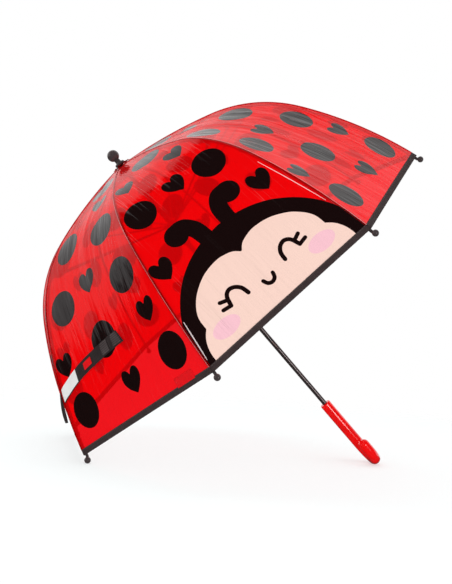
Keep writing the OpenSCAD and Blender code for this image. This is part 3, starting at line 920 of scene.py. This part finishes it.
strap = make_band("closing_strap", STRAP_START, STRAP_END, STRAP_W, STRAP_T, STRAP_LIFT, WEBBING,
                  slant=0.05)
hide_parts("strap")
strap_top = STRAP_LIFT + STRAP_T + 0.05 * MM
hook_pad = make_band("strap_hook_pad", 0.045, 0.155, 16.5 * MM, 1.0 * MM, strap_top, HOOK_TAPE,
                     steps=16, slant=0.04, bulge=0.2 * MM)
loop_pad = make_band("strap_loop_pad", -0.16, -0.04, 16.5 * MM, 1.0 * MM, strap_top, HOOK_TAPE,
                     steps=16, bulge=0.2 * MM)
patch = make_band("strap_patch", -0.51, -0.37, 9.5 * MM, 0.6 * MM, strap_top, PATCH,
                  steps=12, bulge=0.15 * MM)
label = make_band("care_label", STRAP_START + 0.01, -0.66, STRAP_W - 1.6 * MM, 0.35 * MM,
                  strap_top + 0.2 * MM, LABEL, steps=30, bulge=0.2 * MM)
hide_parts("strap_label")
stitch_rows = [make_strap_stitches(f"strap_stitches_{i}", u, STRAP_W - 4 * MM)
               for i, u in enumerate((-0.635, -0.175, -0.025, 0.03), start=1)]


def make_tail():
    """The strap's short end, hanging down beside the seam on the panel before, and growing narrower."""
    length = 40 * MM
    top_s = float(strap_middle(STRAP_START)) - 5 * MM
    rings, uv = [], []
    for t in np.linspace(0, 1, 24):
        width = STRAP_W * (0.75 - 0.45 * t * t)
        lean = math.radians(4 + 38 * t)
        s = top_s + length * t
        ring, ring_uv = [], []
        for w, up in band_profile(width, STRAP_T):
            out = (width / 2 - w) * math.sin(lean) + up * math.cos(lean)
            x = float(half_width(s)) - 1.5 * MM - (width / 2 - w) * math.cos(lean) + up * math.sin(lean)
            ring.append(panel_point(STRAP_PANEL - 1, x, s, STRAP_LIFT + out + 2.5 * MM * t * t))
            ring_uv.append((s, w))
        rings.append(ring[::-1])
        uv.append(ring_uv[::-1])
    piece = sweep("strap_tail_end", rings, [WEBBING], uv)
    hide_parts("strap_tail")
    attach(piece, "rib_8")
    return piece


make_tail()


def make_hem_patch():
    """A blank woven flag above the hem, near rib 1."""
    rows, cols = 8, 20
    x0, x1, s0, s1 = 73 * MM, 105 * MM, 459 * MM, 471.5 * MM
    top, under, uv = [], [], []
    for i in range(rows):
        for j in range(cols):
            x = x0 + (x1 - x0) * j / (cols - 1)
            s = s0 + (s1 - s0) * i / (rows - 1)
            puff = 0.5 * MM * math.sin(math.pi * i / (rows - 1)) * math.sin(math.pi * j / (cols - 1))
            top.append(panel_point(STRAP_PANEL, x, s, 1.0 * MM + puff))
            under.append(panel_point(STRAP_PANEL, x, s, 0.6 * MM))
            uv.append((x, s))
    n = rows * cols
    faces = [f[::-1] for f in grid_faces(rows, cols)]
    faces += [tuple(n + q for q in f) for f in grid_faces(rows, cols)]
    rim = list(range(cols)) + [i * cols + cols - 1 for i in range(1, rows)]
    rim += [(rows - 1) * cols + j for j in range(cols - 2, -1, -1)]
    rim += [i * cols for i in range(rows - 2, 0, -1)]
    faces += [(a, b, n + b, n + a) for a, b in zip(rim, rim[1:] + rim[:1])]
    piece = add_mesh("hem_patch", top + under, faces, [PATCH], uv + uv)
    x = np.array([p[0] for p in uv + uv])
    s = np.array([p[1] for p in uv + uv])
    follow_panel(piece, 1 - x / half_width(s))
    return piece


make_hem_patch()

# ---------- set: floor, lights and camera
def lowest_point(node, up):
    """The point of a CAD node that lies lowest when up points upwards."""
    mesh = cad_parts[node].data
    points = np.zeros(len(mesh.vertices) * 3)
    mesh.vertices.foreach_get("co", points)
    points = points.reshape(-1, 3)
    return points[np.argmin(points @ up)]


def resting_plane(nodes, up):
    """The plane that the three nodes rest on: a point of it and its upward direction."""
    for _ in range(6):
        a, b, c = (lowest_point(node, up) for node in nodes)
        normal = np.cross(b - a, c - a)
        normal /= np.linalg.norm(normal)
        up = normal if normal @ up > 0 else -normal
    return Vector(a), Vector(up)


FLOOR_AT, FLOOR_UP = resting_plane(("rib_tip_7", "rib_tip_8", "handle"), np.array([0.0, 0.66, 0.75]))

# The photo's camera, solved from the rib tips: its place, and where it looks and has its right.
CAMERA_AT = Vector((1.4491, -0.1303, 0.4657))
CAMERA_LOOK = Vector((-0.98821, 0.08602, -0.12670)).normalized()
CAMERA_RIGHT = Vector((0.14797, 0.74950, -0.64526))
CAMERA_RIGHT = (CAMERA_RIGHT - CAMERA_LOOK * CAMERA_RIGHT.dot(CAMERA_LOOK)).normalized()
LENS, SENSOR = 58.45, 36.0

# Level directions on the floor, away from the camera and to its right.
AWAY = (CAMERA_LOOK - FLOOR_UP * CAMERA_LOOK.dot(FLOOR_UP)).normalized()
BESIDE = AWAY.cross(FLOOR_UP)


def make_camera():
    """The camera of the photo."""
    data = bpy.data.cameras.new("camera")
    data.lens = LENS
    data.sensor_width = SENSOR
    camera = add_object("camera", data)
    up = CAMERA_RIGHT.cross(CAMERA_LOOK)
    axes = Matrix((CAMERA_RIGHT, up, -CAMERA_LOOK)).transposed()
    camera.matrix_world = Matrix.Translation(CAMERA_AT) @ axes.to_4x4()
    bpy.context.scene.camera = camera


def floor_material():
    """White that glows a little, is clear from below, and fades out towards the floor's border."""
    n = Nodes("floor_white")
    tone = n.noise(n.place((3, 3, 3)), detail=2)
    n.set(Base_Color=n.tint(tone, (0.86, 0.92, 0.92), (0.88, 0.94, 0.94)), Roughness=0.9,
          Specular_IOR_Level=0.1)
    behind = n.add("ShaderNodeNewGeometry").outputs["Backfacing"]
    away = n.add("ShaderNodeVectorMath", operation="LENGTH")
    n.tree.links.new(n.place((1, 1, 1)), away.inputs[0])
    faded = n.ramp(away.outputs["Value"], 0.55, 1.15)
    clear = n.add("ShaderNodeBsdfTransparent")
    glow = n.add("ShaderNodeEmission", Color=(1, 1, 1, 1), Strength=1.055)
    pale = n.mix(0.5, glow, n.shader)
    floor = n.mix(n.math("MAXIMUM", behind, faded), pale, clear)
    n.tree.links.new(floor.outputs[0], n.output.inputs[0])
    return n.owner


def make_floor():
    """A pale round floor under the resting umbrella, seen from above only."""
    steps, reach = 96, 1.2
    points = [FLOOR_AT]
    for i in range(steps):
        a = math.tau * i / steps
        points.append(FLOOR_AT + (AWAY * math.cos(a) + BESIDE * math.sin(a)) * reach)
    faces = [(0, (i + 1) % steps + 1, i + 1) for i in range(steps)]
    floor = add_mesh("floor", points, faces, [floor_material()], smooth=False)
    floor.data.update()
    if floor.data.polygons[0].normal.dot(FLOOR_UP) < 0:
        floor.data.flip_normals()
    floor.visible_glossy = False


def view_direction(right, up, forward):
    """A direction given by its parts to the camera's right, up from the floor and away."""
    return (BESIDE * right + FLOOR_UP * up + AWAY * forward).normalized()


def make_light(name, direction, distance, width, height, power, seen=True):
    """A soft rectangular light that faces the middle of the umbrella. Reflections show it if seen."""
    data = bpy.data.lights.new(name, "AREA")
    data.shape = "RECTANGLE"
    data.size = width
    data.size_y = height
    data.energy = power
    light = add_object(name, data)
    middle = (cad_low + cad_high) / 2
    light.location = middle + direction * distance
    light.rotation_mode = "QUATERNION"
    light.rotation_quaternion = (-direction).to_track_quat("-Z", "Y")
    light.visible_glossy = seen
    light.visible_camera = False


SOFT_LIGHT = 0.9  # strength of the light from all round
DARK_SIDE = 0.03  # strength of the set's dark parts in reflections


def make_world():
    """White for the camera and soft light from all round. Reflections see a set that is white beyond
    the umbrella and far to its left, from just below the horizon up, and dark elsewhere."""
    n = Nodes("studio", world=True)
    bpy.context.scene.world = n.owner
    direction = n.add("ShaderNodeTexCoord").outputs["Generated"]

    def side_of(toward, low, high):
        """0 to 1 as a direction comes to agree with toward, from low to high."""
        dot = n.add("ShaderNodeVectorMath", operation="DOT_PRODUCT")
        n.feed(dot.inputs[0], direction)
        n.feed(dot.inputs[1], toward)
        return n.ramp(dot.outputs["Value"], low, high)

    beyond = side_of(view_direction(0, 0, 1), 0.14, 0.24)
    left = side_of(view_direction(-1, 0, 0), 0.76, 0.8)
    above = side_of(FLOOR_UP, -0.16, -0.02)
    lit = n.math("MULTIPLY", n.math("MAXIMUM", beyond, left), above)
    level = n.math("ADD", n.math("MULTIPLY", lit, 1 - DARK_SIDE), DARK_SIDE)
    mirror = n.add("ShaderNodeBackground", Color=(1, 1, 1, 1), Strength=level)
    soft = n.add("ShaderNodeBackground", Color=(1, 1, 1, 1), Strength=SOFT_LIGHT)
    n.set(Color=(1, 1, 1, 1), Strength=1.0)
    rays = n.add("ShaderNodeLightPath")
    unseen = n.mix(rays.outputs["Is Glossy Ray"], soft, mirror)
    whole = n.mix(rays.outputs["Is Camera Ray"], unseen, n.shader)
    n.tree.links.new(whole.outputs[0], n.output.inputs[0])


make_camera()
make_floor()
make_world()
make_light("overhead", view_direction(-0.1, 1.0, 0.1), 1.7, 1.1, 1.1, 9, seen=False)
make_light("front_fill", view_direction(-0.1, 0.35, -1.0), 2.2, 1.6, 1.2, 4, seen=False)
make_light("strip", view_direction(0.58, -0.03, -0.81), 2.0, 0.5, 0.5, 5)
bpy.context.scene.view_settings.view_transform = "Standard"
